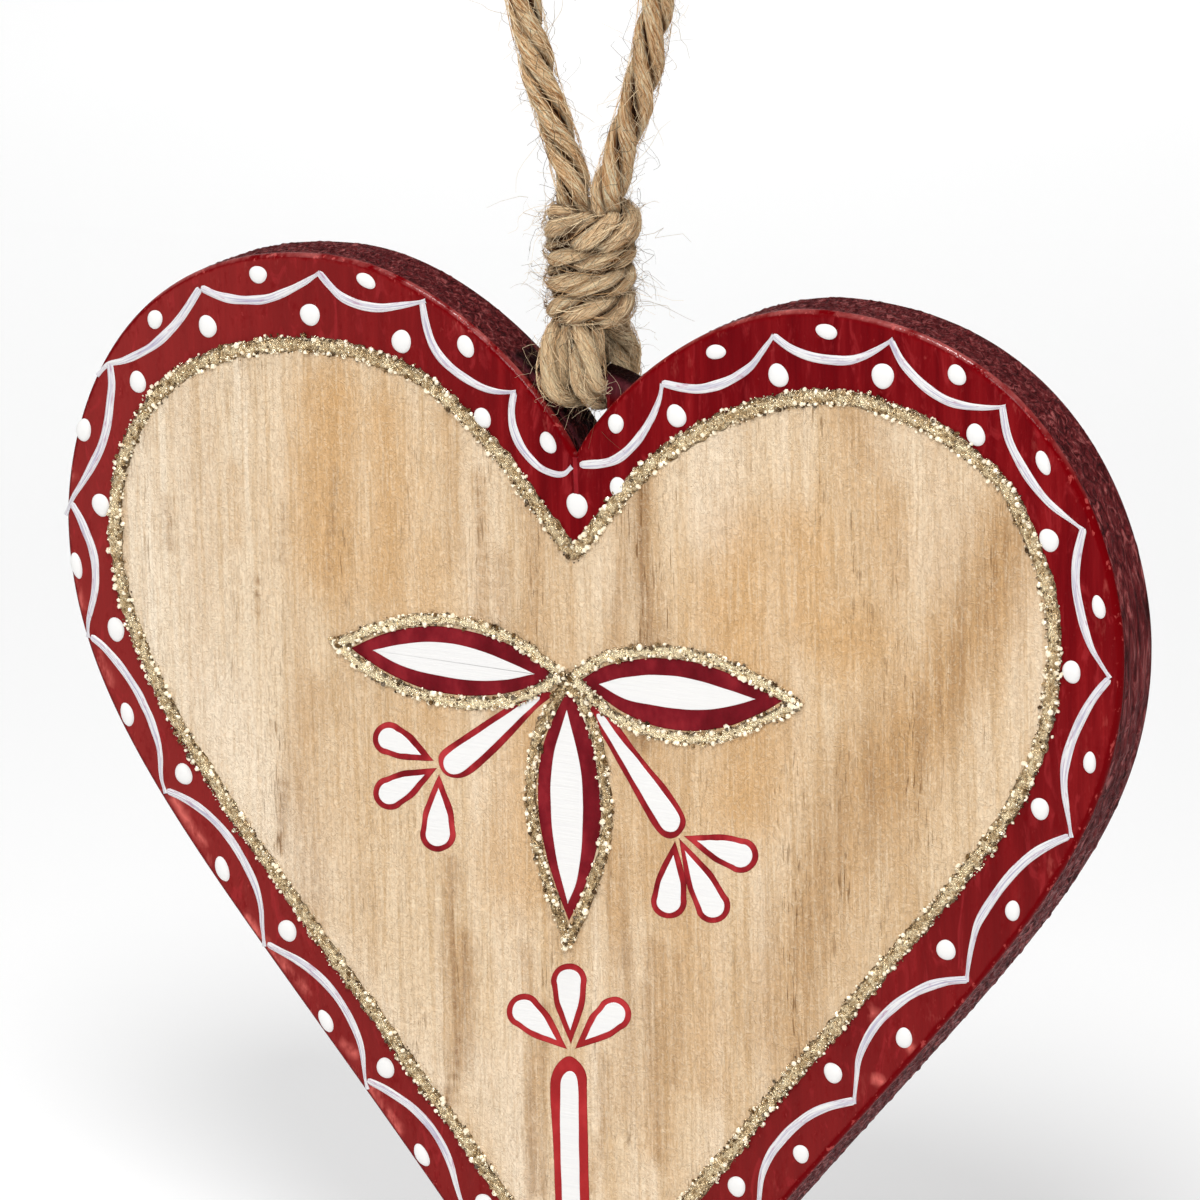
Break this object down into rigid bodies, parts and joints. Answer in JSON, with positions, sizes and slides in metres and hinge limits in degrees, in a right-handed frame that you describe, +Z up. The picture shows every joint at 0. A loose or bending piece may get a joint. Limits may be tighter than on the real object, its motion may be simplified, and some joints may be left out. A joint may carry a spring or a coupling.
{
  "type": "wooden heart ornament",
  "caption": "Flat painted wooden heart with a red border and folk flowers, hung by a wrapped and knotted loop of jute cord from a web of wood across its notch",
  "frame": {"origin": "inside of the top of the cord's loop, where a nail or hook carries it", "axes": "+Z up, the painted face looks along -Y, +X to the right seen from in front"},
  "size_m": [0.14, 0.0116, 0.1916],
  "materials": {
    "painted_wood": "maroon stain with grain on the sides and back",
    "jute_cord": "twisted natural jute with stray fibres",
    "bare_wood": "light wood with upright grain, thin clear coat",
    "red_paint": "glossy red paint with brush marks",
    "white_paint": "thin white brush paint",
    "gold_glitter": "raised champagne glitter line"
  },
  "bodies": {
    "root": {"heart": "painted_wood", "cord_loop": "jute_cord", "cord_knot": "jute_cord", "cord_hitch_left": "jute_cord", "cord_hitch_right": "jute_cord"}
  },
  "joints": []
}
